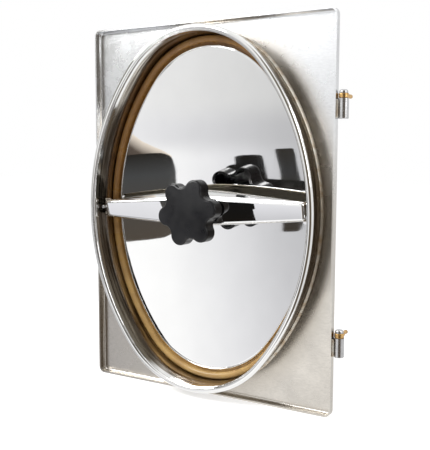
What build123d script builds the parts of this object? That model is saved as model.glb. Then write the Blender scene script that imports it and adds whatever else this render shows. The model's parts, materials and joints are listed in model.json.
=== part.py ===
from build123d import *
from math import atan2, cos, degrees, pi, radians, sin, sqrt, tan
import os

# Oval tank manway cover, pressed from stainless sheet: a square-cornered tray plate carries a tall
# oval neck, and an inward-closing oval cover is drawn against the back of the neck by a star knob
# on a crossbar. Two hinge barrels with brass eyes stand on the right-hand edge of the plate.
# Frame: origin at the oval's centre on the back face of the plate, -Y is the front, +Z is up.

# Sheet and plate, whose margins lie outside the neck's clear opening
SHEET = 2.0
PLATE_SIDES = 21.0
PLATE_ENDS = 17.0
RIM_DEPTH = 11.0
PLATE_CORNER = 8.0
RIM_BEND = 2.5

# Oval neck, given by its clear opening and drawn as a four-centre oval
CLEAR_WIDTH = 310.0
CLEAR_HEIGHT = 440.0
OVAL_END_RADIUS = 118.0
NECK_PROUD = 40.0
NECK_BEHIND = 2.0
ROLL_RADIUS = 4.2
WELD_LEG = 3.0
WELD_GAP = 0.1

# Gasket and cover
SEAT_GAP = 0.3
GASKET_DEPTH = 10.0
GASKET_OVERHANG = 8.0
BEAD_WIDTH = 8.9
BEAD_CREST = 5.9
DISH_INSET = 12.0
DISH_PROUD = 1.0
DISH_BEND = 3.0
DISH_SAG = 12.0
FLANGE_OVERHANG = 7.0
HUG = 0.1
DOUBLER_DIAMETER = 90.0
DOUBLER_THICKNESS = 3.0

# Screw
STUD_DIAMETER = 16.0
STUD_TIP_DEPTH = 47.0
STUD_CHAMFER = 1.5
THREAD_PITCH = 2.0
THREAD_TURNS = 4
COLLAR_DIAMETER = 27.0
COLLAR_HEIGHT = 6.0

# Crossbar, whose ends stop short of the neck's wall
BAR_END_GAP = 8.0
BAR_FRONT_CENTRE = 34.0
BAR_FRONT_END = 27.0
BAR_BACK_CENTRE = 11.0
BAR_HALF_CENTRE = 17.0
BAR_HALF_END = 10.5
BAR_FLARE = 12.0
BAR_CORNER = 4.0
BAR_BEND = 2.5
BAR_FOOT = 12.0
BAR_REST_TURN = 1.9
BUSH_DIAMETER = 26.0
BORE_GAP = 0.3

# Lugs inside the neck, which reach under the ends of the bar, and a pin beyond each end
LUG_FRONT = 17.0
LUG_DEPTH = 10.0
LUG_OVERLAP = 6.0
LUG_HEIGHT = 18.0
LUG_ROUND = 2.0
LUG_PIN_DIAMETER = 4.5
LUG_PIN_LENGTH = 22.0
LUG_PIN_GAP = 1.75

# Star knob
KNOB_DIAMETER = 85.0
KNOB_LOBES = 6
KNOB_LOBE_RADIUS = 11.7
KNOB_VALLEY_RADIUS = 9.5
KNOB_DEPTH = 20.0
KNOB_CROWN = 230.0
KNOB_EDGE = 2.8
KNOB_WALL = 3.5
KNOB_FACE = 5.0
KNOB_TURN = 10.0
HUB_DIAMETER = 34.0
INSERT_DIAMETER = 24.0
INSERT_DEPTH = 12.0
THREAD_FIT = 0.08
WASHER_DIAMETER = 38.0
WASHER_THICKNESS = 1.7

# Hinges on the plate edge
HINGE_HEIGHT = 138.5
BARREL_DIAMETER = 12.0
BARREL_LENGTH = 23.0
BARREL_DEPTH = 2.0
BARREL_EDGE = 1.0
EYE_DIAMETER = 11.4
EYE_THICKNESS = 5.5
EYE_EDGE = 0.8
SHANK_DIAMETER = 5.0
SHANK_LENGTH = 22.0
STOP_DIAMETER = 8.0
STOP_START = 6.4
STOP_THICKNESS = 1.2
HINGE_PIN_DIAMETER = 6.0
PIN_HEAD_DIAMETER = 10.0
PIN_HEAD_HEIGHT = 4.0
PIN_FIT = 0.08
PIN_PRESS_GAP = 0.02
EYE_GAP = 0.3

PLATE_WIDTH = CLEAR_WIDTH + 2 * PLATE_SIDES
PLATE_HEIGHT = CLEAR_HEIGHT + 2 * PLATE_ENDS
HALF_WIDTH = CLEAR_WIDTH / 2
HALF_HEIGHT = CLEAR_HEIGHT / 2
SIDE_RADIUS = ((HALF_HEIGHT - OVAL_END_RADIUS) ** 2 + HALF_WIDTH**2 - OVAL_END_RADIUS**2) / (
    2 * (HALF_WIDTH - OVAL_END_RADIUS)
)
END_CENTRE = HALF_HEIGHT - OVAL_END_RADIUS
SIDE_CENTRE = SIDE_RADIUS - HALF_WIDTH
TANGENT_ANGLE = degrees(atan2(END_CENTRE, SIDE_CENTRE))

NECK_FRONT = SHEET + NECK_PROUD
BAR_LENGTH = CLEAR_WIDTH - 2 * BAR_END_GAP
GASKET_FRONT = NECK_BEHIND + SEAT_GAP
FLANGE_FRONT = GASKET_FRONT + GASKET_DEPTH
COVER_BACK = FLANGE_FRONT + SHEET
COVER_TRAVEL = THREAD_PITCH * THREAD_TURNS
BAR_BACK_END = LUG_FRONT + SEAT_GAP
DISH_CENTRE = DISH_SAG - DISH_PROUD
WASHER_BACK = BAR_FRONT_CENTRE + SEAT_GAP
KNOB_BACK = WASHER_BACK + WASHER_THICKNESS
BARREL_X = PLATE_WIDTH / 2 + BARREL_DIAMETER / 2


def plane_at(y):
    # Front-facing plane at the given Y: sketch x is X, sketch y is Z, and it extrudes forward.
    return Plane(origin=(0, y, 0), x_dir=(1, 0, 0), z_dir=(0, -1, 0))


def slab(sketch, back, front):
    return extrude(plane_at(back) * sketch, amount=back - front)


def disc(diameter, back, front):
    return slab(Circle(diameter / 2), back, front)


def oval(grow):
    # Four-centre oval that lies the given distance outside the neck's inner wall.
    end = OVAL_END_RADIUS + grow
    angle = radians(TANGENT_ANGLE)
    x, z = end * cos(angle), END_CENTRE + end * sin(angle)
    top, side = HALF_HEIGHT + grow, HALF_WIDTH + grow
    lines = [
        ThreePointArc((x, z), (0, top), (-x, z)),
        ThreePointArc((-x, z), (-side, 0), (-x, -z)),
        ThreePointArc((-x, -z), (0, -top), (x, -z)),
        ThreePointArc((x, -z), (side, 0), (x, z)),
    ]
    return make_face(Curve() + lines)


def round_oval(profile):
    # Carries a profile round the oval. The profile's x is the distance outside the neck's inner
    # wall and its y is the distance in front of the plate's back face.
    arcs = [
        (0, END_CENTRE, OVAL_END_RADIUS, TANGENT_ANGLE, 180 - 2 * TANGENT_ANGLE),
        (SIDE_CENTRE, 0, SIDE_RADIUS, 180 - TANGENT_ANGLE, 2 * TANGENT_ANGLE),
        (0, -END_CENTRE, OVAL_END_RADIUS, 180 + TANGENT_ANGLE, 180 - 2 * TANGENT_ANGLE),
        (-SIDE_CENTRE, 0, SIDE_RADIUS, -TANGENT_ANGLE, 2 * TANGENT_ANGLE),
    ]
    spans = []
    for x, z, radius, start, sweep_angle in arcs:
        c, s = cos(radians(start)), sin(radians(start))
        plane = Plane(origin=(x, 0, z), x_dir=(c, 0, s), z_dir=(s, 0, -c))
        face = plane * Pos(radius, 0) * profile
        spans.append(revolve(face, Axis((x, 0, z), (0, -1, 0)), sweep_angle))
    return spans[0] + spans[1:]


def box_between(x0, x1, y0, y1, z0, z1):
    centre = Pos((x0 + x1) / 2, (y0 + y1) / 2, (z0 + z1) / 2)
    return centre * Box(x1 - x0, y1 - y0, z1 - z0)


def make_base_plate():
    outer = slab(RectangleRounded(PLATE_WIDTH, PLATE_HEIGHT, PLATE_CORNER), 0, -RIM_DEPTH)
    outer = fillet(outer.faces().sort_by(Axis.Y)[-1].edges(), RIM_BEND + SHEET / 2)
    inner_corner = PLATE_CORNER - SHEET
    inner = RectangleRounded(PLATE_WIDTH - 2 * SHEET, PLATE_HEIGHT - 2 * SHEET, inner_corner)
    hollow = slab(inner, -SHEET, -RIM_DEPTH - 1)
    hollow = fillet(hollow.faces().sort_by(Axis.Y)[-1].edges(), RIM_BEND)
    return outer - hollow - slab(oval(SHEET + WELD_GAP), 1, -SHEET - 1)


def make_neck_ring():
    roll_y = NECK_FRONT - ROLL_RADIUS
    wall_length = roll_y + NECK_BEHIND
    wall = Pos(SHEET / 2, roll_y - wall_length / 2) * Rectangle(SHEET, wall_length)
    curl = Pos(ROLL_RADIUS, roll_y) * (Circle(ROLL_RADIUS) - Circle(ROLL_RADIUS - SHEET))
    mouth = Pos(ROLL_RADIUS / 2, roll_y - ROLL_RADIUS / 2) * Rectangle(ROLL_RADIUS, ROLL_RADIUS)
    return round_oval(wall + (curl - mouth))


def make_neck_weld():
    # Outside fillet weld between neck and plate, dressed flat.
    edge = SHEET + WELD_GAP
    corners = [(edge, SHEET), (edge + WELD_LEG, SHEET), (edge, SHEET + WELD_LEG)]
    return round_oval(make_face(Polyline(*corners, close=True)))


def make_lug(side):
    inner = BAR_LENGTH / 2 - LUG_OVERLAP
    half_height = LUG_HEIGHT / 2
    block = box_between(
        inner, HALF_WIDTH, -LUG_FRONT, LUG_DEPTH - LUG_FRONT, -half_height, half_height
    )
    block = fillet(block.edges().filter_by(Axis.Y).group_by(Axis.X)[0], LUG_ROUND)
    block = block & slab(oval(-WELD_GAP / 2), 0, -NECK_FRONT)
    block = block - lug_pin(LUG_PIN_DIAMETER + 2 * PIN_PRESS_GAP)
    return block if side > 0 else mirror(block, Plane.YZ)


def lug_pin(diameter):
    # The pin stands in a hole through the lug, with its root level with the back of the lug.
    root = LUG_DEPTH - LUG_FRONT
    x = BAR_LENGTH / 2 + LUG_PIN_GAP + LUG_PIN_DIAMETER / 2
    return Pos(x, 0, 0) * disc(diameter, root, root - LUG_PIN_LENGTH)


def make_lug_pin(side):
    pin = lug_pin(LUG_PIN_DIAMETER)
    pin = fillet(pin.faces().sort_by(Axis.Y)[0].edges(), LUG_PIN_DIAMETER / 4)
    return pin if side > 0 else mirror(pin, Plane.YZ)


def make_gasket():
    # Flat ring behind the neck's edge, with a half-round bead that stands up inside the neck.
    inner = HUG - DISH_INSET
    width = GASKET_OVERHANG - inner
    depth = GASKET_DEPTH - HUG
    ring = Pos(inner + width / 2, -GASKET_FRONT - depth / 2) * Rectangle(width, depth)
    radius = BEAD_WIDTH / 2
    bead_x = -SEAT_GAP - radius
    crown_y = BEAD_CREST - radius
    root_y = -GASKET_FRONT - depth / 2
    bead = Pos(bead_x, crown_y) * Circle(radius)
    bead = bead + Pos(bead_x, (crown_y + root_y) / 2) * Rectangle(BEAD_WIDTH, crown_y - root_y)
    return round_oval(ring + bead)


def dish_plug(inset):
    # Everything in front of the dished panel, which sinks by the same sag from its long and its
    # short sides. An inset plug reaches the back of the sheet.
    reach_x = HALF_WIDTH - DISH_INSET - DISH_BEND
    reach_z = HALF_HEIGHT - DISH_INSET - DISH_BEND
    radius_x = reach_x**2 / (2 * DISH_SAG)
    radius_z = reach_z**2 / (2 * DISH_SAG)
    deep, front = DISH_CENTRE + inset, -NECK_FRONT
    half = HALF_WIDTH
    edge = deep - (radius_x + inset) + sqrt((radius_x + inset) ** 2 - half**2)
    lines = [
        ThreePointArc((-half, edge), (0, deep), (half, edge)),
        Line((half, edge), (half, front)),
        Line((half, front), (-half, front)),
        Line((-half, front), (-half, edge)),
    ]
    axis = Axis((0, deep - inset - radius_z, 0), (1, 0, 0))
    span = 2 * degrees(atan2(HALF_HEIGHT, radius_z))
    return revolve(make_face(Curve() + lines).rotate(axis, -span / 2), axis, span)


def make_cover_dish():
    raised = slab(oval(-DISH_INSET), FLANGE_FRONT, -DISH_PROUD)
    raised = fillet(raised.faces().sort_by(Axis.Y)[0].edges(), DISH_BEND)
    hollow = slab(oval(-DISH_INSET - SHEET), COVER_BACK + 1, SHEET - DISH_PROUD)
    hollow = fillet(hollow.faces().sort_by(Axis.Y)[0].edges(), DISH_BEND - SHEET / 2)
    hollow = hollow - dish_plug(SHEET)
    return raised - dish_plug(0) + slab(oval(FLANGE_OVERHANG), COVER_BACK, FLANGE_FRONT) - hollow


def make_cover_doubler():
    back = DISH_CENTRE + SHEET + DOUBLER_THICKNESS
    doubler = disc(DOUBLER_DIAMETER, back, DISH_CENTRE)
    doubler = fillet(doubler.faces().sort_by(Axis.Y)[-1].edges(), DOUBLER_THICKNESS / 2)
    return doubler - dish_plug(SHEET)


def make_stud():
    stud = disc(STUD_DIAMETER, DISH_CENTRE + 1, -STUD_TIP_DEPTH)
    return chamfer(stud.faces().sort_by(Axis.Y)[0].edges(), STUD_CHAMFER) & dish_plug(0)


def make_stud_collar():
    # Welding collar round the stud's root, cut to the dish behind it.
    root = disc(COLLAR_DIAMETER, DISH_CENTRE + 1, DISH_CENTRE - COLLAR_HEIGHT)
    collar = chamfer(root.faces().sort_by(Axis.Y)[0].edges(), COLLAR_HEIGHT / 2)
    collar = collar & dish_plug(0)
    return collar - disc(STUD_DIAMETER + 2 * PIN_PRESS_GAP, DISH_CENTRE + 1, -NECK_FRONT)


def bar_outline(inset, extra):
    # Front view of the bar: two shallow arcs that taper to the ends, with rounded corners.
    x = BAR_LENGTH / 2 - inset
    end, middle = BAR_HALF_END - inset + extra, BAR_HALF_CENTRE - inset + extra
    lines = [
        Line((-x, -end), (-x, end)),
        ThreePointArc((-x, end), (0, middle), (x, end)),
        Line((x, end), (x, -end)),
        ThreePointArc((x, -end), (0, -middle), (-x, -end)),
    ]
    return fillet(make_face(Curve() + lines).vertices(), BAR_CORNER)


def bar_form(inset):
    # Flared body of the bar, cut to its bow in plan. An inset form is the hollow of the channel.
    back, front = BAR_BACK_CENTRE - 1, BAR_FRONT_CENTRE + 1
    flare = (front - back) * tan(radians(BAR_FLARE))
    faces = [plane_at(-back) * bar_outline(inset, flare), plane_at(-front) * bar_outline(inset, 0)]
    body = loft(faces, ruled=True)
    x, foot = BAR_LENGTH / 2 + 1, BAR_LENGTH / 2 - BAR_FOOT
    open_back = inset and BAR_BACK_CENTRE
    front_end, front_middle = inset - BAR_FRONT_END, inset - BAR_FRONT_CENTRE
    back_end, back_middle = open_back - BAR_BACK_END, open_back - BAR_BACK_CENTRE
    lines = [
        Line((-x, back_end), (-x, front_end)),
        ThreePointArc((-x, front_end), (0, front_middle), (x, front_end)),
        Line((x, front_end), (x, back_end)),
        Line((x, back_end), (foot, back_end)),
        ThreePointArc((foot, back_end), (0, back_middle), (-foot, back_end)),
        Line((-foot, back_end), (-x, back_end)),
    ]
    plan = Pos(0, 0, -PLATE_HEIGHT / 2) * extrude(make_face(Curve() + lines), amount=PLATE_HEIGHT)
    return body & plan


def make_crossbar():
    bar = bar_form(0)
    front = [edge for edge in bar.edges() if edge.center().Y < -BAR_FRONT_END + 0.5]
    bar = fillet(front, BAR_BEND)
    bar = bar - bar_form(SHEET) - disc(STUD_DIAMETER + 2 * BORE_GAP, 0, -NECK_FRONT)
    return Rot(0, -BAR_REST_TURN, 0) * bar


def make_bar_bush():
    bush = disc(BUSH_DIAMETER, -BAR_BACK_CENTRE, SHEET + HUG - BAR_FRONT_CENTRE)
    return bush - disc(STUD_DIAMETER + 2 * BORE_GAP, 0, -NECK_FRONT)


def polar(reach, angle):
    return Vector(reach * cos(angle), reach * sin(angle))


def star(shrink):
    # Lobe and valley arcs that meet tangentially; shrinking keeps their centres.
    half = pi / KNOB_LOBES
    lobe_reach = KNOB_DIAMETER / 2 - KNOB_LOBE_RADIUS
    span = KNOB_LOBE_RADIUS + KNOB_VALLEY_RADIUS
    valley_reach = lobe_reach * cos(half) + sqrt(span**2 - (lobe_reach * sin(half)) ** 2)
    share = (KNOB_LOBE_RADIUS - shrink) / span
    lines = []
    for index in range(KNOB_LOBES):
        angle = radians(KNOB_TURN) + 2 * half * index
        lobe = polar(lobe_reach, angle)
        before = lobe + (polar(valley_reach, angle - half) - lobe) * share
        after = lobe + (polar(valley_reach, angle + half) - lobe) * share
        next_lobe = polar(lobe_reach, angle + 2 * half)
        onward = next_lobe + (polar(valley_reach, angle + half) - next_lobe) * share
        valley = polar(valley_reach - KNOB_VALLEY_RADIUS - shrink, angle + half)
        lines.append(ThreePointArc(before, polar(KNOB_DIAMETER / 2 - shrink, angle), after))
        lines.append(ThreePointArc(after, valley, onward))
    return make_face(Curve() + lines)


def make_knob_body():
    front = KNOB_BACK + KNOB_DEPTH
    body = slab(star(0), -KNOB_BACK, -front)
    body = body & (Pos(0, KNOB_CROWN - front, 0) * Sphere(KNOB_CROWN))
    body = fillet(body.faces().sort_by(Axis.Y)[0].edges(), KNOB_EDGE)
    hollow = slab(star(KNOB_WALL), 1 - KNOB_BACK, KNOB_FACE - front)
    hollow = hollow - disc(HUB_DIAMETER, 1 - KNOB_BACK, KNOB_FACE - front)
    return body - hollow - disc(INSERT_DIAMETER, 1 - KNOB_BACK, -KNOB_BACK - INSERT_DEPTH - HUG)


def make_knob_insert():
    front = -KNOB_BACK - INSERT_DEPTH
    insert = slab(RegularPolygon(INSERT_DIAMETER / 2 - HUG, 12), -KNOB_BACK, front)
    return insert - disc(STUD_DIAMETER + 2 * THREAD_FIT, 0, front - 1)


def make_knob_washer():
    washer = disc(WASHER_DIAMETER, -WASHER_BACK, -KNOB_BACK)
    washer = chamfer(washer.faces().sort_by(Axis.Y)[-1].edges(), WASHER_THICKNESS / 4)
    return washer - disc(STUD_DIAMETER + 2 * BORE_GAP, 0, -NECK_FRONT)


def upright(diameter, low, high):
    return Pos(BARREL_X, -BARREL_DEPTH, low) * extrude(Circle(diameter / 2), amount=high - low)


def make_hinge_barrel(height):
    top = height - EYE_THICKNESS / 2 - EYE_GAP
    barrel = upright(BARREL_DIAMETER, top - BARREL_LENGTH, top)
    barrel = fillet(barrel.faces().sort_by(Axis.Z)[0].edges(), BARREL_EDGE)
    return barrel - upright(HINGE_PIN_DIAMETER + 2 * PIN_PRESS_GAP, top - BARREL_LENGTH + SHEET, top + 1)


def make_hinge_pin(height):
    top = height + EYE_THICKNESS / 2 + EYE_GAP
    bottom = height - EYE_THICKNESS / 2 - EYE_GAP - BARREL_LENGTH + SHEET + HUG
    head = upright(PIN_HEAD_DIAMETER, top, top + PIN_HEAD_HEIGHT)
    head = fillet(head.faces().sort_by(Axis.Z)[-1].edges(), PIN_HEAD_HEIGHT * 0.7)
    return upright(HINGE_PIN_DIAMETER, bottom, top) + head


def rod(diameter, start, end):
    # Round bar that points back from the eye's centre, between two distances from it.
    return Rot(-90, 0, 0) * Pos(0, 0, start) * extrude(Circle(diameter / 2), amount=end - start)


def make_hinge_eye(height):
    # Brass eye with a threaded shank behind it and a stop collar that seats on the tank.
    low, high = height - EYE_THICKNESS / 2, height + EYE_THICKNESS / 2
    ring = extrude(Circle(EYE_DIAMETER / 2), amount=high - low)
    ring = fillet(ring.edges(), EYE_EDGE)
    shank = rod(SHANK_DIAMETER, 0, SHANK_LENGTH)
    shank = fillet(shank.faces().sort_by(Axis.Y)[-1].edges(), SHANK_DIAMETER / 4)
    shank = shank + rod(STOP_DIAMETER, STOP_START, STOP_START + STOP_THICKNESS)
    shank = Pos(0, 0, EYE_THICKNESS / 2) * shank
    bore = extrude(Circle(HINGE_PIN_DIAMETER / 2 + PIN_FIT), amount=high - low)
    return Pos(BARREL_X, -BARREL_DEPTH, low) * (ring + shank - bore)


PARTS = {
    "base_plate": make_base_plate(),
    "neck_ring": make_neck_ring(),
    "neck_weld": make_neck_weld(),
    "lug_left": make_lug(-1),
    "lug_right": make_lug(1),
    "lug_pin_left": make_lug_pin(-1),
    "lug_pin_right": make_lug_pin(1),
    "gasket": make_gasket(),
    "cover_dish": make_cover_dish(),
    "cover_doubler": make_cover_doubler(),
    "stud": make_stud(),
    "stud_collar": make_stud_collar(),
    "crossbar": make_crossbar(),
    "bar_bush": make_bar_bush(),
    "knob_body": make_knob_body(),
    "knob_insert": make_knob_insert(),
    "knob_washer": make_knob_washer(),
    "hinge_barrel_upper": make_hinge_barrel(HINGE_HEIGHT),
    "hinge_barrel_lower": make_hinge_barrel(-HINGE_HEIGHT),
    "hinge_pin_upper": make_hinge_pin(HINGE_HEIGHT),
    "hinge_pin_lower": make_hinge_pin(-HINGE_HEIGHT),
    "hinge_eye_upper": make_hinge_eye(HINGE_HEIGHT),
    "hinge_eye_lower": make_hinge_eye(-HINGE_HEIGHT),
}

os.makedirs("parts", exist_ok=True)
for name, shape in PARTS.items():
    export_step(shape, f"parts/{name}.step")
lead = COVER_TRAVEL / (2 * pi * THREAD_TURNS)
print(f"cover travel {COVER_TRAVEL} mm over {THREAD_TURNS} turns, {lead:.5f} mm per radian")
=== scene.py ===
import bpy
import bmesh
import json
import math
from mathutils import Matrix, Vector


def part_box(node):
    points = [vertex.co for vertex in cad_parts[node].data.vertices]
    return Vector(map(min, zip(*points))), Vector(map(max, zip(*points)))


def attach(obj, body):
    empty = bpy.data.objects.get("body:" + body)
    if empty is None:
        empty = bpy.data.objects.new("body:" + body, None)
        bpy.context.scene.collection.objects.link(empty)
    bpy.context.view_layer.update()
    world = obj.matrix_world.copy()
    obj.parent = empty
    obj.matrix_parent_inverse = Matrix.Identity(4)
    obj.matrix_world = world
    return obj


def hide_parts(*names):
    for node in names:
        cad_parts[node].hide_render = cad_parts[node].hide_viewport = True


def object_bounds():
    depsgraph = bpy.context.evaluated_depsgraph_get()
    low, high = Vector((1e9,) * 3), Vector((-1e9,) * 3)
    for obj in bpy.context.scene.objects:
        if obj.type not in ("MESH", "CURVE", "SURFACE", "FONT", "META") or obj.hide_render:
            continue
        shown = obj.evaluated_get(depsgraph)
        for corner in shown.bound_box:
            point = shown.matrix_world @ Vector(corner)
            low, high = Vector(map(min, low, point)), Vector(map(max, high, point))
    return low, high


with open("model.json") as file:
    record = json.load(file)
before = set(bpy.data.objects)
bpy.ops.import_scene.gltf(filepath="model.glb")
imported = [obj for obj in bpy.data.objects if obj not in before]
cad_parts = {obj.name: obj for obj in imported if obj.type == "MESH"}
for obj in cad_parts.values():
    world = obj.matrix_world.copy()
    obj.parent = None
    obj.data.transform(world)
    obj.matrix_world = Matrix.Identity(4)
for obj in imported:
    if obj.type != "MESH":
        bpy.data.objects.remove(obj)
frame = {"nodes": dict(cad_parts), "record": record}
cadLow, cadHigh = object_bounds()
nodes = frame["nodes"]
print("frame loaded with", len(nodes), "nodes")


# node graph helpers
def addNode(tree, kind, inputs=None, **settings):
    node = tree.nodes.new(kind)
    for key, value in settings.items():
        setattr(node, key, value)
    for key, value in (inputs or {}).items():
        if isinstance(value, bpy.types.NodeSocket):
            tree.links.new(value, node.inputs[key])
        else:
            node.inputs[key].default_value = value
    return node


def rampNode(tree, factor, stops):
    ramp = addNode(tree, "ShaderNodeValToRGB", {"Fac": factor})
    elements = ramp.color_ramp.elements
    while len(elements) < len(stops):
        elements.new(0.5)
    for element, (position, colour) in zip(elements, sorted(stops)):
        element.position = position
        element.color = (*colour, 1) if isinstance(colour, tuple) else (colour, colour, colour, 1)
    return ramp.outputs["Color"]


def noiseNode(tree, vector, scale, detail=3.0, roughness=0.5, distortion=0.0):
    return addNode(tree, "ShaderNodeTexNoise", {
        "Vector": vector, "Scale": scale, "Detail": detail,
        "Roughness": roughness, "Distortion": distortion}).outputs["Fac"]


def stretched(tree, vector, scale):
    return addNode(tree, "ShaderNodeMapping", {"Vector": vector, "Scale": scale}).outputs[0]


def mathNode(tree, operation, a, b=0.0, c=0.0):
    node = addNode(tree, "ShaderNodeMath", operation=operation)
    for socket, value in zip(node.inputs, (a, b, c)):
        if isinstance(value, bpy.types.NodeSocket):
            tree.links.new(value, socket)
        else:
            socket.default_value = value
    return node.outputs[0]


def mapRange(tree, value, edges, results=(0.0, 1.0), smooth=False):
    return addNode(tree, "ShaderNodeMapRange", {
        "Value": value, "From Min": edges[0], "From Max": edges[1],
        "To Min": results[0], "To Max": results[1]},
        interpolation_type="SMOOTHSTEP" if smooth else "LINEAR").outputs[0]


def mixColour(tree, factor, a, b, blend="MIX"):
    node = addNode(tree, "ShaderNodeMix", data_type="RGBA", blend_type=blend)
    for index, value in ((0, factor), (6, a), (7, b)):
        if isinstance(value, bpy.types.NodeSocket):
            tree.links.new(value, node.inputs[index])
        elif index == 0:
            node.inputs[0].default_value = value
        else:
            node.inputs[index].default_value = (*value, 1)
    return node.outputs[2]


def multiplied(tree, colour, tone):
    return mixColour(tree, 1.0, colour, tone, "MULTIPLY")


def blotched(tree, pattern, edges, first, second):
    # two colours that a pattern parts
    mask = rampNode(tree, pattern, [(edges[0], 0.0), (edges[1], 1.0)])
    return mixColour(tree, mask, first, second)


def axisOf(tree, vector, axis):
    return addNode(tree, "ShaderNodeSeparateXYZ", {"Vector": vector}).outputs[axis]


def ovalReach(tree, place, halves):
    # how far out a point is, as a share of an oval's half width and half height
    shrunk = stretched(tree, place, (1 / halves[0], 0, 1 / halves[1]))
    return addNode(tree, "ShaderNodeVectorMath", {0: shrunk}, operation="LENGTH").outputs["Value"]


def bumpNode(tree, height, distance, strength=1.0, normal=None):
    inputs = {"Height": height, "Distance": distance, "Strength": strength}
    if normal is not None:
        inputs["Normal"] = normal
    return addNode(tree, "ShaderNodeBump", inputs).outputs[0]


def newSurface(name, **values):
    material = bpy.data.materials.new(name)
    material.use_nodes = True
    tree = material.node_tree
    shader = tree.nodes["Principled BSDF"]
    for key, value in values.items():
        socket = shader.inputs[key.replace("_", " ")]
        socket.default_value = (*value, 1) if isinstance(value, tuple) else value
    place = addNode(tree, "ShaderNodeTexCoord").outputs["Object"]
    return material, tree, shader, place


def setInput(tree, shader, name, socket):
    tree.links.new(socket, shader.inputs[name])


def setRoughness(tree, shader, pattern, settings):
    # roughness that follows a pattern, between two shares of the material's own
    ends = [settings["roughness"] * share for share in settings["roughShares"]]
    setInput(tree, shader, "Roughness", mapRange(tree, pattern, settings["roughEdges"], ends))


# mirror sheet: bright polished steel with slow waves and hairline polish marks
mirrorSheet = {
    "colour": (0.95, 0.95, 0.945), "haze": 0.012, "hazeSpread": 4,
    "waveSize": 9.0, "waveDepth": 0.00022, "hairScale": (900, 900, 26), "hairEdges": (0.35, 0.8),
    "smudgeSize": 22, "smudgeStops": [(0.3, 1.0), (0.75, 0.965)],
    "barInsideShade": (0.20, 0.18, 0.14), "millHaze": 0.42, "reverseEdges": (0.15, 0.45),
    "backColour": (0.58, 0.575, 0.56), "grainScale": (30, 30, 1300),
    "grainStops": [(0.35, 0.82), (0.7, 1.0)], "cloudSize": 16,
    "cloudStops": [(0.35, 1.0), (0.68, 0.80)],
    "panelFront": -0.0035, "lean": 0.12, "leanReach": 0.14}


def makeMirrorSheet(name, settings):
    material, tree, shader, place = newSurface(
        name, Base_Color=settings["colour"], Metallic=1.0, Roughness=settings["haze"])
    wave = noiseNode(tree, place, settings["waveSize"], detail=1.5, distortion=0.4)
    hair = noiseNode(tree, stretched(tree, place, settings["hairScale"]), 1.0, detail=4)
    haze = mapRange(tree, hair, settings["hairEdges"], (
        settings["haze"], settings["haze"] * settings["hazeSpread"]))
    # the sheet's reverse is left as milled and dull, grained on the cover; on the bar, inside the
    # channel, it gets a dark painted shade colour
    facing = addNode(tree, "ShaderNodeTexCoord").outputs["Normal"]
    reverse = mapRange(tree, axisOf(tree, facing, "Y"), settings["reverseEdges"])
    roughness = addNode(tree, "ShaderNodeMix", {"Factor": reverse}, data_type="FLOAT")
    tree.links.new(haze, roughness.inputs[2])
    roughness.inputs[3].default_value = settings["millHaze"]
    setInput(tree, shader, "Roughness", roughness.outputs[0])
    panel = mathNode(tree, "GREATER_THAN", axisOf(tree, place, "Y"), settings["panelFront"])
    grain = noiseNode(tree, stretched(tree, place, settings["grainScale"]), 1.0, detail=4)
    cloud = noiseNode(tree, place, settings["cloudSize"], detail=6, roughness=0.6)
    back = multiplied(tree, settings["backColour"], rampNode(tree, grain, settings["grainStops"]))
    back = multiplied(tree, back, rampNode(tree, cloud, settings["cloudStops"]))
    # painted shade inside the bar's channel: the bar's reverse is coloured dark brown, the cover's
    # reverse keeps its grain
    reverseShadeAndGrain = mixColour(tree, panel, settings["barInsideShade"], back)
    sheet = mixColour(tree, reverse, settings["colour"], reverseShadeAndGrain)
    smudge = noiseNode(tree, place, settings["smudgeSize"], detail=5)
    smudge = rampNode(tree, smudge, settings["smudgeStops"])
    setInput(tree, shader, "Base Color", multiplied(tree, sheet, smudge))
    # the pressed panel leans a little, which its reflections show
    swing = mathNode(tree, "DIVIDE", axisOf(tree, place, "Z"), settings["leanReach"])
    swing = mathNode(tree, "MULTIPLY", mathNode(tree, "TANH", swing), panel)
    lean = mathNode(tree, "MULTIPLY", swing, settings["lean"] * settings["leanReach"])
    leaning = bumpNode(tree, lean, 1.0)
    setInput(tree, shader, "Normal", bumpNode(tree, wave, settings["waveDepth"], normal=leaning))
    return material


# satin plate: soft cloudy sheet with fine grain, and a painted floor reflection that makes it
# warmer and duller towards the bottom
satinPlate = {
    "colour": (0.87, 0.88, 0.895), "floorReflectionColour": (0.74, 0.70, 0.64), "floorReflectionShare": 0.35,
    "roughness": 0.25, "roughEdges": (0.3, 0.75), "roughShares": (0.8, 1.35),
    "grainScale": (260, 260, 900), "grainDepth": 0.00003, "cloudSize": 14.0,
    "tintStops": [(0.32, 1.0), (0.7, 0.84)], "speckStops": [(0.35, 1.0), (0.75, 0.9)],
    "neckShadeColour": (0.56, 0.51, 0.44), "haloSize": (0.171, 0.236), "haloStart": 0.98,
    "haloReach": 0.20, "haloRagged": 0.10, "haloSides": (-0.05, 0.12), "haloShares": (0.25, 0.9)}


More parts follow.
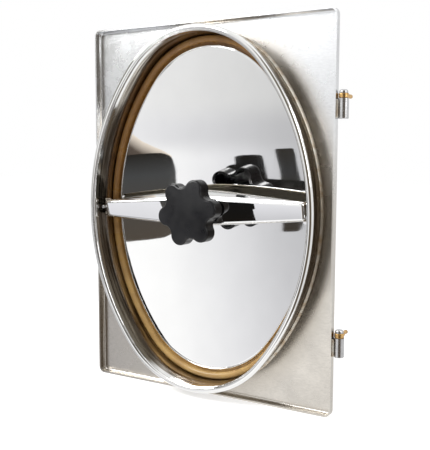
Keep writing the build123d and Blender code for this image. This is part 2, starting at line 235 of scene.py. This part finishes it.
def makeSatinPlate(name, settings):
    material, tree, shader, place = newSurface(name, Metallic=1.0, Roughness=settings["roughness"])
    # painted reflection of a warm floor: the colour turns warmer and darker towards the bottom of
    # the plate
    fall = (cadHigh.z - cadLow.z) * settings["floorReflectionShare"]
    low = mapRange(tree, axisOf(tree, place, "Z"), (-fall, fall), (1.0, 0.0), smooth=True)
    cloud = noiseNode(tree, place, settings["cloudSize"], detail=6, roughness=0.62)
    fine = noiseNode(tree, stretched(tree, place, settings["grainScale"]), 1.0, detail=3)
    base = mixColour(tree, low, settings["colour"], settings["floorReflectionColour"])
    base = multiplied(tree, base, rampNode(tree, cloud, settings["tintStops"]))
    base = multiplied(tree, base, rampNode(tree, fine, settings["speckStops"]))
    # painted shade of the neck on the plate: a darker brown ring round the neck's weld, stronger
    # on the hinge side
    reach = ovalReach(tree, place, settings["haloSize"])
    reach = mathNode(tree, "ADD", reach, mathNode(tree, "MULTIPLY", cloud, settings["haloRagged"]))
    start = settings["haloStart"]
    neckShade = mapRange(tree, reach, (start, start + settings["haloReach"]), (1.0, 0.0), smooth=True)
    side = mapRange(tree, axisOf(tree, place, "X"), settings["haloSides"], settings["haloShares"])
    neckShade = mathNode(tree, "MULTIPLY", neckShade, side)
    setInput(tree, shader, "Base Color", mixColour(tree, neckShade, base, settings["neckShadeColour"]))
    setRoughness(tree, shader, cloud, settings)
    setInput(tree, shader, "Normal", bumpNode(tree, fine, settings["grainDepth"]))
    return material


# polished ring: mirror bright on the roll; below it a wall with lengthwise buffing streaks and
# painted reflections
polishedRing = {
    "colour": (0.92, 0.915, 0.90), "wallReflectionColour": (0.86, 0.83, 0.78), "haze": 0.03,
    "wallHaze": 0.13, "waveSize": 11, "waveDepth": 0.0003, "rollBack": (-0.0338, -0.0320),
    "opening": (0.155, 0.220), "inside": 0.965, "buffScale": (7, 230, 7),
    "buffEdges": (0.3, 0.75), "buffSpread": (0.4, 2.2), "buffDepth": 0.00012,
    "buffStrength": 0.6, "reflectionStreakStops": [
        (0.34, (0.10, 0.085, 0.07)), (0.43, (0.36, 0.32, 0.28)), (0.50, 1.0),
        (0.57, (0.45, 0.41, 0.36)), (0.66, 1.0)],
    "reflectionBandScale": (4, 95, 4), "reflectionBandShare": 0.8,
    "reflectionBandStops": [(0.40, (0.34, 0.31, 0.28)), (0.52, 1.0), (0.60, (0.5, 0.47, 0.43))]}


def makePolishedRing(name, settings):
    material, tree, shader, place = newSurface(name, Metallic=1.0)
    behind = mapRange(tree, axisOf(tree, place, "Y"), settings["rollBack"])
    reach = ovalReach(tree, place, settings["opening"])
    outside = mathNode(tree, "GREATER_THAN", reach, settings["inside"])
    wall = mathNode(tree, "MULTIPLY", behind, outside)
    buff = noiseNode(
        tree, stretched(tree, place, settings["buffScale"]), 1.0, detail=5, roughness=0.62)
    haze = mapRange(tree, wall, (0.0, 1.0), (settings["haze"], settings["wallHaze"]))
    spread = mapRange(tree, buff, settings["buffEdges"], settings["buffSpread"])
    setInput(tree, shader, "Roughness", mathNode(tree, "MULTIPLY", haze, spread))
    # painted reflections on the wall: dark and light lengthwise streaks in the colour, following
    # the buffing pattern
    paintedStreak = rampNode(tree, buff, settings["reflectionStreakStops"])
    band = noiseNode(tree, stretched(tree, place, settings["reflectionBandScale"]), 1.0, detail=2)
    band = rampNode(tree, band, settings["reflectionBandStops"])
    paintedStreak = mixColour(tree, settings["reflectionBandShare"], paintedStreak, band, "MULTIPLY")
    paintedStreak = mixColour(tree, wall, (1, 1, 1), paintedStreak)
    # the wall below the roll gets a darker, warmer colour, a painted reflection of its dim
    # surroundings
    base = mixColour(tree, wall, settings["colour"], settings["wallReflectionColour"])
    setInput(tree, shader, "Base Color", multiplied(tree, base, paintedStreak))
    wave = noiseNode(tree, place, settings["waveSize"], detail=2)
    rib = bumpNode(tree, buff, settings["buffDepth"], strength=settings["buffStrength"])
    setInput(tree, shader, "Normal", bumpNode(tree, wave, settings["waveDepth"], normal=rib))
    return material


# weld metal: dull beads with straw heat tint
weldMetal = {
    "colour": (0.80, 0.76, 0.68), "tint": (0.55, 0.42, 0.28), "tintSize": 120,
    "tintEdges": (0.42, 0.72), "roughness": 0.34, "gritSize": 900, "gritDepth": 0.00012}


def makeWeldMetal(name, settings):
    material, tree, shader, place = newSurface(name, Metallic=1.0, Roughness=settings["roughness"])
    cloud = noiseNode(tree, place, settings["tintSize"], detail=4)
    setInput(tree, shader, "Base Color", blotched(
        tree, cloud, settings["tintEdges"], settings["colour"], settings["tint"]))
    grit = noiseNode(tree, place, settings["gritSize"], detail=3)
    setInput(tree, shader, "Normal", bumpNode(tree, grit, settings["gritDepth"]))
    return material


# turned steel: fine lathe rings round the long axis
turnedSteel = {
    "colour": (0.66, 0.655, 0.66), "wearSize": 160, "wearStops": [(0.35, 1.0), (0.75, 0.82)],
    "roughness": 0.22, "roughEdges": (0.3, 0.75), "roughShares": (0.7, 1.6),
    "ringScale": (40, 2600.0, 2600.0), "ringDepth": 0.00002}


def makeTurnedSteel(name, settings):
    material, tree, shader, place = newSurface(name, Metallic=1.0, Roughness=settings["roughness"])
    rings = noiseNode(tree, stretched(tree, place, settings["ringScale"]), 1.0, detail=2)
    wear = noiseNode(tree, place, settings["wearSize"], detail=4)
    wear = rampNode(tree, wear, settings["wearStops"])
    setInput(tree, shader, "Base Color", multiplied(tree, settings["colour"], wear))
    setRoughness(tree, shader, rings, settings)
    setInput(tree, shader, "Normal", bumpNode(tree, rings, settings["ringDepth"]))
    return material


# tan rubber: slightly waxy moulded gasket, with painted shade that darkens it towards the top
tanRubber = {
    "colour": (0.56, 0.36, 0.13), "dark": (0.40, 0.235, 0.085), "cloudSize": 60,
    "darkEdges": (0.35, 0.75), "paintedShade": (0.56, 0.44, 0.33), "paintedShadeFrom": (-0.17, 0.05),
    "sheen": 0.45, "roughness": 0.28, "roughEdges": (0.3, 0.8), "roughShares": (0.85, 1.25),
    "poreSize": 1500, "poreDepth": 0.00005}


def makeTanRubber(name, settings):
    material, tree, shader, place = newSurface(
        name, Roughness=settings["roughness"], Specular_IOR_Level=settings["sheen"])
    cloud = noiseNode(tree, place, settings["cloudSize"], detail=5)
    base = blotched(tree, cloud, settings["darkEdges"], settings["colour"], settings["dark"])
    # painted shade: the gasket's colour darkens towards the top
    paintedShade = mapRange(tree, axisOf(tree, place, "Z"), settings["paintedShadeFrom"], smooth=True)
    paintedShade = mixColour(tree, paintedShade, (1, 1, 1), settings["paintedShade"])
    setInput(tree, shader, "Base Color", multiplied(tree, base, paintedShade))
    pore = noiseNode(tree, place, settings["poreSize"], detail=2)
    setInput(tree, shader, "Normal", bumpNode(tree, pore, settings["poreDepth"]))
    setRoughness(tree, shader, cloud, settings)
    return material


# black phenolic knob: glossy moulding with a faint orange-peel skin
blackKnob = {
    "colour": (0.006, 0.006, 0.0075), "worn": (0.012, 0.0115, 0.0125), "cloudSize": 70,
    "wornEdges": (0.4, 0.8), "sheen": 0.40, "roughness": 0.30, "roughEdges": (0.3, 0.8),
    "roughShares": (0.85, 1.4), "skinSize": 420, "skinDepth": 0.00004}


def makeBlackKnob(name, settings):
    material, tree, shader, place = newSurface(
        name, Roughness=settings["roughness"], Specular_IOR_Level=settings["sheen"])
    cloud = noiseNode(tree, place, settings["cloudSize"], detail=4)
    setInput(tree, shader, "Base Color", blotched(
        tree, cloud, settings["wornEdges"], settings["colour"], settings["worn"]))
    setRoughness(tree, shader, cloud, settings)
    skin = noiseNode(tree, place, settings["skinSize"], detail=2)
    setInput(tree, shader, "Normal", bumpNode(tree, skin, settings["skinDepth"]))
    return material


# brass: turned, a little oxidised
brassMetal = {
    "colour": (0.78, 0.50, 0.20), "dull": (0.42, 0.22, 0.08), "cloudSize": 220,
    "dullEdges": (0.4, 0.72), "roughness": 0.26, "skinSize": 1400, "skinDepth": 0.00002}


def makeBrass(name, settings):
    material, tree, shader, place = newSurface(name, Metallic=1.0, Roughness=settings["roughness"])
    cloud = noiseNode(tree, place, settings["cloudSize"], detail=5)
    setInput(tree, shader, "Base Color", blotched(
        tree, cloud, settings["dullEdges"], settings["colour"], settings["dull"]))
    skin = noiseNode(tree, place, settings["skinSize"], detail=2)
    setInput(tree, shader, "Normal", bumpNode(tree, skin, settings["skinDepth"]))
    return material


finishes = {
    "satin_steel": makeSatinPlate("satinSteel", satinPlate),
    "polished_steel": makePolishedRing("polishedSteel", polishedRing),
    "mirror_steel": makeMirrorSheet("mirrorSteel", mirrorSheet),
    "weld_steel": makeWeldMetal("weldSteel", weldMetal),
    "turned_steel": makeTurnedSteel("turnedSteel", turnedSteel),
    "tan_rubber": makeTanRubber("tanRubber", tanRubber),
    "black_plastic": makeBlackKnob("blackPlastic", blackKnob),
    "brass": makeBrass("brass", brassMetal)}

for part in frame["record"]["subparts"]:
    mesh = nodes[part["node"]].data
    finish = finishes[part["material_slot"]]
    if not mesh.materials:
        mesh.materials.append(finish)
    for index in range(len(mesh.materials)):
        mesh.materials[index] = finish
print("finishes made:", ", ".join(finishes))


# shaping helpers for new pieces
def bridge(shape, rings, closed=False):
    # quads between each ring of vertices and the next, and back to the first where closed
    following = rings[1:] + rings[:1] if closed else rings[1:]
    count = len(rings[0])
    for near, far in zip(rings, following):
        for k in range(count):
            shape.faces.new((near[k], near[(k + 1) % count], far[(k + 1) % count], far[k]))


def finishPiece(name, shape, body, slot, replaced=()):
    bmesh.ops.remove_doubles(shape, verts=shape.verts, dist=1e-6)
    bmesh.ops.recalc_face_normals(shape, faces=shape.faces)
    mesh = bpy.data.meshes.new(name)
    shape.to_mesh(mesh)
    shape.free()
    for face in mesh.polygons:
        face.use_smooth = True
    mesh.materials.append(finishes[slot])
    piece = bpy.data.objects.new(name, mesh)
    bpy.context.collection.objects.link(piece)
    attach(piece, body)
    if replaced:
        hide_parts(*replaced)
    return piece


# crossbar: pressed channel, open at the back, that deepens towards the middle and sits rolled
# a little on its screw; pairs of sizes are at the middle, then at the ends
crossbar = {
    "length": 0.294, "halfHeights": (0.017, 0.0103), "fronts": (-0.034, -0.027),
    "depths": (0.027, 0.0045), "flare": 12.5, "bend": 0.0042, "leastLip": 0.0004,
    "sheet": 0.002, "roll": 7.0, "rollCentre": (-0.0305, 0.0), "restTurn": -1.6,
    "lift": 0.001, "soften": 0.14, "sections": 72, "bendSteps": 7}


def channelPoints(half, front, depth, settings):
    # from the back of the lower flange round the front to the back of the upper one
    flare = math.radians(settings["flare"])
    bend = settings["bend"]
    sweep = math.pi / 2 - flare
    setback = bend * math.tan(sweep / 2)
    depth = max(depth, setback + settings["leastLip"])
    upper = [(front + depth, half + depth * math.tan(flare))]
    for step in range(settings["bendSteps"] + 1):
        angle = sweep * step / settings["bendSteps"]
        upper.append((
            front + bend - bend * math.sin(flare + angle),
            half - setback + bend * math.cos(flare + angle)))
    lower = [(y, -z) for y, z in upper]
    return lower + upper[::-1]


def offsetInside(points, distance):
    inside = []
    for index, (y, z) in enumerate(points):
        before = Vector(points[max(index - 1, 0)])
        after = Vector(points[min(index + 1, len(points) - 1)])
        along = (after - before).normalized()
        inside.append((y + along.y * distance, z - along.x * distance))
    return inside


def makeCrossbar(settings):
    shape = bmesh.new()
    roll = Matrix.Rotation(math.radians(settings["roll"]), 3, "X")
    turn = Matrix.Rotation(math.radians(settings["restTurn"]), 3, "Y")
    centre = Vector((0, *settings["rollCentre"]))
    soften = settings["soften"]
    rings = []
    for index in range(settings["sections"] + 1):
        x = settings["length"] * (index / settings["sections"] - 0.5)
        share = abs(x) / (settings["length"] / 2)
        share = (math.hypot(share, soften) - soften) / (math.hypot(1, soften) - soften)
        half, front, depth = (
            middle + (end - middle) * share
            for middle, end in (settings["halfHeights"], settings["fronts"], settings["depths"]))
        outer = channelPoints(half, front, depth, settings)
        inner = offsetInside(outer, settings["sheet"])
        loop = []
        for y, z in outer + inner[::-1]:
            point = centre + roll @ (Vector((x, y, z)) - centre)
            loop.append(shape.verts.new(turn @ point + Vector((0, 0, settings["lift"]))))
        rings.append(loop)
    bridge(shape, rings)
    count = len(rings[0])
    for ring in (rings[0], rings[-1]):
        for k in range(count // 2 - 1):
            shape.faces.new((ring[k], ring[k + 1], ring[count - 2 - k], ring[count - 1 - k]))
    return finishPiece("crossbarSheet", shape, "bar", "mirror_steel", replaced=("crossbar",))


makeCrossbar(crossbar)

# neck oval: half width, half height and end radius of the clear opening
oval = {"halfWidth": 0.155, "halfHeight": 0.220, "endRadius": 0.118}


def ovalLoop(outset, count):
    # points round the four-centre oval at even steps, each with its outward direction
    width, height, end = oval["halfWidth"], oval["halfHeight"], oval["endRadius"]
    rise = height - end
    side = (rise ** 2 + width ** 2 - end ** 2) / (2 * (width - end))
    back = side - width
    join = math.atan2(rise, back)
    sideArc, endArc = (side + outset) * join, (end + outset) * (math.pi / 2 - join)
    quarter = sideArc + endArc
    loop = []
    for index in range(count):
        run = 4 * quarter * index / count
        part, rest = int(run // quarter), run % quarter
        if part % 2:
            rest = quarter - rest
        if rest < sideArc:
            angle = rest / (side + outset)
            x = (side + outset) * math.cos(angle) - back
            z = (side + outset) * math.sin(angle)
        else:
            angle = join + (rest - sideArc) / (end + outset)
            x = (end + outset) * math.cos(angle)
            z = rise + (end + outset) * math.sin(angle)
        signX, signZ = ((1, 1), (-1, 1), (-1, -1), (1, -1))[part]
        loop.append((
            Vector((signX * x, 0, signZ * z)),
            Vector((signX * math.cos(angle), 0, signZ * math.sin(angle)))))
    return loop


# neck weld: a bead in the corner of neck and plate, laid in overlapping ripples
neckWeld = {
    "outset": 0.0021, "plateFront": -0.002, "leg": 0.0028, "ripple": 0.00035,
    "ripplePitch": 0.0026, "rippleFall": 1.6, "bulge": 0.12, "hollow": 0.42,
    "steps": 2200, "arc": 6}


def makeNeckWeld(settings):
    shape = bmesh.new()
    rings = []
    loop = ovalLoop(settings["outset"], settings["steps"])
    length = sum((b[0] - a[0]).length for a, b in zip(loop, loop[1:] + loop[:1]))
    waves = round(length / settings["ripplePitch"])
    for index, (place, outward) in enumerate(loop):
        beat = (index * waves / settings["steps"]) % 1.0
        swell = settings["leg"] + settings["ripple"] * (1 - beat) ** settings["rippleFall"]
        ring = []
        for step in range(settings["arc"] + 1):
            angle = math.pi / 2 * step / settings["arc"]
            bulge = 1 + settings["bulge"] * math.sin(2 * angle)
            out, up = swell * math.cos(angle) * bulge, swell * math.sin(angle) * bulge
            lean = 1 - settings["hollow"] * math.sin(2 * angle)
            ring.append(shape.verts.new(
                place + outward * out * lean + Vector((0, settings["plateFront"] - up * lean, 0))))
        ring.append(shape.verts.new(place + Vector((0, settings["plateFront"], 0))))
        rings.append(ring)
    bridge(shape, rings, closed=True)
    return finishPiece("neckWeldBead", shape, "frame", "weld_steel", replaced=("neck_weld",))


makeNeckWeld(neckWeld)

# panel edge: the crisp pressed lip round the cover's mirror panel
panelEdge = {"outset": -0.0136, "front": -0.0006, "radius": 0.0009, "steps": 360, "arc": 10}


def makePanelEdge(settings):
    shape = bmesh.new()
    rings = []
    for place, outward in ovalLoop(settings["outset"], settings["steps"]):
        ring = []
        for step in range(settings["arc"]):
            angle = 2 * math.pi * step / settings["arc"]
            out, up = settings["radius"] * math.cos(angle), settings["radius"] * math.sin(angle)
            ring.append(shape.verts.new(
                place + outward * out + Vector((0, settings["front"] - up, 0))))
        rings.append(ring)
    bridge(shape, rings, closed=True)
    return finishPiece("panelEdge", shape, "cover", "polished_steel")


makePanelEdge(panelEdge)

# short welds: a row of lapped drops between two points, of slightly uneven sizes
lugWelds = {
    "radius": 0.0022, "pitch": 0.0019, "squash": 0.8, "axis": "X", "uneven": 0.12, "ends": 0.001}
hingeWelds = {
    "radius": 0.0017, "pitch": 0.0015, "squash": 0.7, "axis": "Y", "uneven": 0.12,
    "ends": 0.0025, "standOff": 0.0006}


def makeDropRow(name, start, end, settings):
    shape = bmesh.new()
    start, end = Vector(start), Vector(end)
    count = max(2, round((end - start).length / settings["pitch"]) + 1)
    for index in range(count):
        drop = bmesh.ops.create_icosphere(
            shape, subdivisions=2, radius=settings["radius"])["verts"]
        size = 1 - settings["uneven"] * ((index * 7) % 5) / 4
        scale = Vector((size, size, size))
        scale["XYZ".index(settings["axis"])] *= settings["squash"]
        bmesh.ops.scale(shape, verts=drop, vec=scale)
        bmesh.ops.translate(shape, verts=drop, vec=start.lerp(end, index / (count - 1)))
    return finishPiece(name, shape, "frame", "weld_steel")


for side in ("left", "right"):
    low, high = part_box("lug_" + side)
    wall = low.x if side == "left" else high.x
    front, back = low.y + lugWelds["ends"], high.y - lugWelds["ends"]
    for edge, z in (("Upper", high.z), ("Lower", low.z)):
        makeDropRow(
            "lugWeld" + side.title() + edge, (wall, front, z), (wall, back, z), lugWelds)

plateLow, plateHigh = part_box("base_plate")
for level in ("upper", "lower"):
    low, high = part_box("hinge_barrel_" + level)
    x = plateHigh.x + hingeWelds["standOff"]
    bottom, top = low.z + hingeWelds["ends"], high.z - hingeWelds["ends"]
    for face, y in (("Front", low.y), ("Back", high.y)):
        depth = min(max(y, plateLow.y), plateHigh.y)
        makeDropRow(
            "hingeWeld" + level.title() + face, (x, depth, bottom), (x, depth, top), hingeWelds)
print("new pieces made")


# studio: pale floor, soft lamps and reflection cards that only the metal sees
studio = {
    "floorSize": 12.0, "floorColour": (0.97, 0.97, 0.97), "floorRoughness": 0.9,
    "floorDrop": 0.0005, "floorLift": 0.55, "airStrength": 0.48}


def stageMaterial(name):
    material = bpy.data.materials.new(name)
    material.use_nodes = True
    tree = material.node_tree
    tree.nodes.clear()
    glow = addNode(tree, "ShaderNodeEmission", {"Strength": 1.0})
    addNode(tree, "ShaderNodeOutputMaterial", {"Surface": glow.outputs[0]})
    place = addNode(tree, "ShaderNodeTexCoord").outputs["Object"]
    return material, tree, glow, place


def makeStagePiece(name, shape, material, hidden=True):
    mesh = bpy.data.meshes.new(name)
    shape.to_mesh(mesh)
    shape.free()
    mesh.materials.append(material)
    piece = bpy.data.objects.new(name, mesh)
    bpy.context.collection.objects.link(piece)
    if hidden:
        piece.visible_camera = False
        piece.visible_diffuse = False
        piece.visible_shadow = False
        piece.visible_transmission = False
    return piece


def makeFloor():
    shape = bmesh.new()
    bmesh.ops.create_grid(shape, x_segments=1, y_segments=1, size=studio["floorSize"] / 2)
    bmesh.ops.translate(shape, verts=shape.verts, vec=(0, 0, cadLow.z - studio["floorDrop"]))
    material, tree, shader, place = newSurface(
        "paleFloor", Base_Color=studio["floorColour"], Roughness=studio["floorRoughness"],
        Specular_IOR_Level=0.0, Emission_Color=(1, 1, 1))
    path = addNode(tree, "ShaderNodeLightPath")
    lift = mathNode(tree, "MULTIPLY", path.outputs["Is Camera Ray"], studio["floorLift"])
    setInput(tree, shader, "Emission Strength", lift)
    floor = makeStagePiece("floor", shape, material, hidden=False)
    floor.visible_glossy = False


def bearing(azimuth, elevation=0.0):
    # direction from the object: azimuth 0 is the front, positive towards the hinges
    a, e = math.radians(azimuth), math.radians(elevation)
    return Vector((math.sin(a) * math.cos(e), -math.cos(a) * math.cos(e), math.sin(e)))


# wall round the object, seen only in reflections: azimuth in degrees against colour, in four
# bands of height, each edge given as where the next band starts and where it is full
dimRoom = (0.115, 0.090, 0.066)
tent = {
    "radius": 1.6, "sides": 96, "low": -1.4, "high": 2.2,
    "edges": {"above": (0.22, 0.40), "below": (-0.10, -0.22), "ground": (-0.24, -0.34)},
    "middle": [
        (-180, 0.85), (-130, 0.95), (-84, 0.92), (-70, 0.80), (-60, 0.50), (-46, 0.52),
        (-36, 0.72), (-24, 0.92), (-10, 0.98), (2, 0.6), (12, dimRoom), (58, dimRoom),
        (70, 0.85), (90, 0.95), (100, 0.85), (180, 0.85)],
    "above": [
        (-180, 0.8), (-130, 0.9), (-84, 0.85), (-74, (0.10, 0.093, 0.06)),
        (-44, (0.10, 0.093, 0.06)), (-34, 0.8), (-4, 0.95), (14, (0.16, 0.14, 0.11)),
        (52, (0.16, 0.14, 0.11)), (70, 0.85), (180, 0.8)],
    "below": [
        (-180, 0.8), (-130, 0.85), (-76, 0.6), (-58, (0.42, 0.42, 0.43)),
        (-45, (0.46, 0.46, 0.475)), (-39, (0.55, 0.55, 0.565)), (-33, (0.70, 0.70, 0.72)),
        (-27, (0.84, 0.84, 0.86)), (-20, 0.98), (-6, 0.98), (6, 0.5), (16, dimRoom),
        (56, dimRoom), (74, 0.8), (180, 0.8)],
    "ground": [
        (-180, 0.8), (-130, 0.85), (-76, 0.6), (-58, (0.44, 0.44, 0.46)),
        (-46, (0.48, 0.48, 0.50)), (-40, (0.60, 0.60, 0.62)), (-34, (0.84, 0.84, 0.86)),
        (-28, 1.05), (-20, 1.1), (-6, 1.05), (6, 0.5), (16, dimRoom), (56, dimRoom),
        (74, 0.8), (180, 0.8)]}


def makeTent():
    shape = bmesh.new()
    bmesh.ops.create_cone(
        shape, segments=tent["sides"], radius1=tent["radius"], radius2=tent["radius"],
        depth=tent["high"] - tent["low"], cap_ends=False)
    bmesh.ops.translate(shape, verts=shape.verts, vec=(0, 0, (tent["high"] + tent["low"]) / 2))
    material, tree, glow, place = stageMaterial("tentWall")
    front = mathNode(tree, "MULTIPLY", axisOf(tree, place, "Y"), -1.0)
    angle = mathNode(tree, "ARCTAN2", axisOf(tree, place, "X"), front)
    turn = mathNode(tree, "MULTIPLY_ADD", angle, 1 / (2 * math.pi), 0.5)
    height = axisOf(tree, place, "Z")
    bands = {}
    for band in ("middle", "above", "below", "ground"):
        stops = [((azimuth + 180) / 360, tone) for azimuth, tone in tent[band]]
        bands[band] = rampNode(tree, turn, stops)
    wall = bands["middle"]
    for band, edge in tent["edges"].items():
        share = mapRange(tree, height, edge, smooth=True)
        wall = mixColour(tree, share, wall, bands[band])
    tree.links.new(wall, glow.inputs["Color"])
    makeStagePiece("tent", shape, material)


# shapes in front of the cover, which its mirror shows: centre x and z, width and height,
# corner radius, turn in degrees and brightness at the bottom and the top
cards = {
    "depth": 0.25, "layerGap": 0.004, "cornerSteps": 8, "fadeFrom": 0.7,
    "warmBottom": (1.2, 1, 0.8), "warmFade": (0.12, 0.09, 0.07), "warmTop": (1.12, 1, 0.86),
    "cool": (1, 1, 1.04),
    "dark": [
        ("cardTall", (-0.1465, -0.036), (0.0150, 0.060), 0.0045, 0, 0.012, 0.014),
        ("cardShoulder", (-0.1520, -0.043), (0.0210, 0.044), 0.010, 0, 0.012, 0.014),
        ("cardPost", (-0.1240, -0.059), (0.0115, 0.124), 0.002, 0, 0.040, 0.030),
        ("cardLink", (-0.1290, -0.058), (0.0320, 0.015), 0.002, -12, 0.012, 0.012),
        ("cardBrown", (-0.2220, -0.058), (0.0580, 0.124), 0.014, 2, 0.070, 0.020),
        ("cardBar", (-0.0500, -0.062), (0.0760, 0.120), 0.004, 0, 0.008, 0.008),
        ("cardBarStep", (-0.0480, -0.040), (0.0800, 0.040), 0.006, 0, 0.008, 0.008)],
    "haze": [("cardHaze", (-0.2359, 0.0155), (0.0800, 0.045), 0.004, -57, 0.014, 0.80)],
    "light": [
        ("cardBarLeft", (-0.3300, -0.075), (0.1850, 0.110), 0.004, 0, 0.76, 0.86),
        ("cardBarRight", (0.0250, -0.075), (0.1050, 0.110), 0.004, 0, 0.56, 0.86)]}


def warmStops(low, high):
    fade = tuple(low + (high - low) * share for share in cards["warmFade"])
    return [
        (0.0, tuple(low * part for part in cards["warmBottom"])), (cards["fadeFrom"], fade),
        (1.0, tuple(high * part for part in cards["warmTop"]))]


def coolStops(low, high):
    return [
        (share, tuple(tone * part for part in cards["cool"]))
        for share, tone in ((0.0, low), (1.0, high))]


def makeCard(name, centre, size, corner, turn, low, high, depth, tones):
    shape = bmesh.new()
    bmesh.ops.create_grid(shape, x_segments=1, y_segments=1, size=0.5)
    bmesh.ops.scale(shape, verts=shape.verts, vec=(size[0], size[1], 1))
    bmesh.ops.bevel(
        shape, geom=shape.verts[:], offset=corner, affect="VERTICES",
        segments=cards["cornerSteps"], profile=0.5, material=-1)
    angle = math.radians(turn)
    upright = Matrix.Rotation(math.pi / 2, 3, "X") @ Matrix.Rotation(angle, 3, "Z")
    bmesh.ops.rotate(shape, verts=shape.verts, cent=(0, 0, 0), matrix=upright)
    bmesh.ops.translate(shape, verts=shape.verts, vec=(centre[0], -depth, centre[1]))
    material, tree, glow, place = stageMaterial(name + "Tone")
    upward = Vector((-math.sin(angle), 0, math.cos(angle)))
    reach = addNode(
        tree, "ShaderNodeVectorMath", {0: place, 1: upward}, operation="DOT_PRODUCT")
    middle = Vector((centre[0], 0, centre[1])).dot(upward)
    share = mapRange(
        tree, reach.outputs["Value"], (middle - size[1] / 2, middle + size[1] / 2))
    tree.links.new(rampNode(tree, share, tones(low, high)), glow.inputs["Color"])
    makeStagePiece(name, shape, material)


def makeCards():
    behind = cards["depth"] + cards["layerGap"]
    groups = (("dark", cards["depth"], warmStops), ("haze", behind, warmStops),
              ("light", behind, coolStops))
    for group, depth, tones in groups:
        for card in cards[group]:
            makeCard(*card, depth, tones)


# lamps aimed at the middle of the object: degrees, metres and watts
lamps = {
    "keyLamp": {
        "azimuth": -42, "elevation": 36, "distance": 1.4, "size": (0.8, 0.6), "power": 17.0},
    "sideLamp": {
        "azimuth": 78, "elevation": 24, "distance": 1.4, "size": (0.4, 0.8), "power": 3.0}}


def aimed(item, place, back, roll=0.0):
    # place an object so that it looks along the reverse of its bearing
    turn = (-back).to_track_quat("-Z", "Y").to_matrix() @ Matrix.Rotation(roll, 3, "Z")
    item.location = place
    item.rotation_mode = "QUATERNION"
    item.rotation_quaternion = turn.to_quaternion()


def addLamp(name, settings):
    data = bpy.data.lights.new(name, "AREA")
    data.shape = "RECTANGLE"
    data.size, data.size_y = settings["size"]
    data.energy = settings["power"]
    lamp = bpy.data.objects.new(name, data)
    bpy.context.collection.objects.link(lamp)
    back = bearing(settings["azimuth"], settings["elevation"])
    aimed(lamp, back * settings["distance"], back)


def makeAir():
    world = bpy.data.worlds.new("studioAir")
    bpy.context.scene.world = world
    world.use_nodes = True
    tree = world.node_tree
    tree.nodes.clear()
    path = addNode(tree, "ShaderNodeLightPath")
    seen = path.outputs["Is Camera Ray"]
    for ray in ("Is Glossy Ray", "Is Transmission Ray"):
        seen = mathNode(tree, "MAXIMUM", seen, path.outputs[ray])
    strength = mapRange(tree, seen, (0.0, 1.0), (studio["airStrength"], 1.0))
    air = addNode(tree, "ShaderNodeBackground", {"Color": (1, 1, 1, 1), "Strength": strength})
    addNode(tree, "ShaderNodeOutputWorld", {"Surface": air.outputs[0]})


makeAir()
makeFloor()
makeTent()
makeCards()
for name, settings in lamps.items():
    addLamp(name, settings)
print("studio lit")

# camera: three-quarter view from the hinge side, a little above the middle
viewpoint = {
    "place": (0.50937, -0.80823, 0.07769), "azimuth": 31.72, "elevation": 5.78,
    "roll": 0.14, "lens": 59.9, "sensor": 36.0}


def makeCamera():
    data = bpy.data.cameras.new("camera")
    data.lens = viewpoint["lens"]
    data.sensor_width = viewpoint["sensor"]
    camera = bpy.data.objects.new("camera", data)
    bpy.context.collection.objects.link(camera)
    back = bearing(viewpoint["azimuth"], viewpoint["elevation"])
    aimed(camera, viewpoint["place"], back, math.radians(viewpoint["roll"]))
    bpy.context.scene.camera = camera


makeCamera()
bpy.context.scene.view_settings.view_transform = "Standard"
print("camera set")
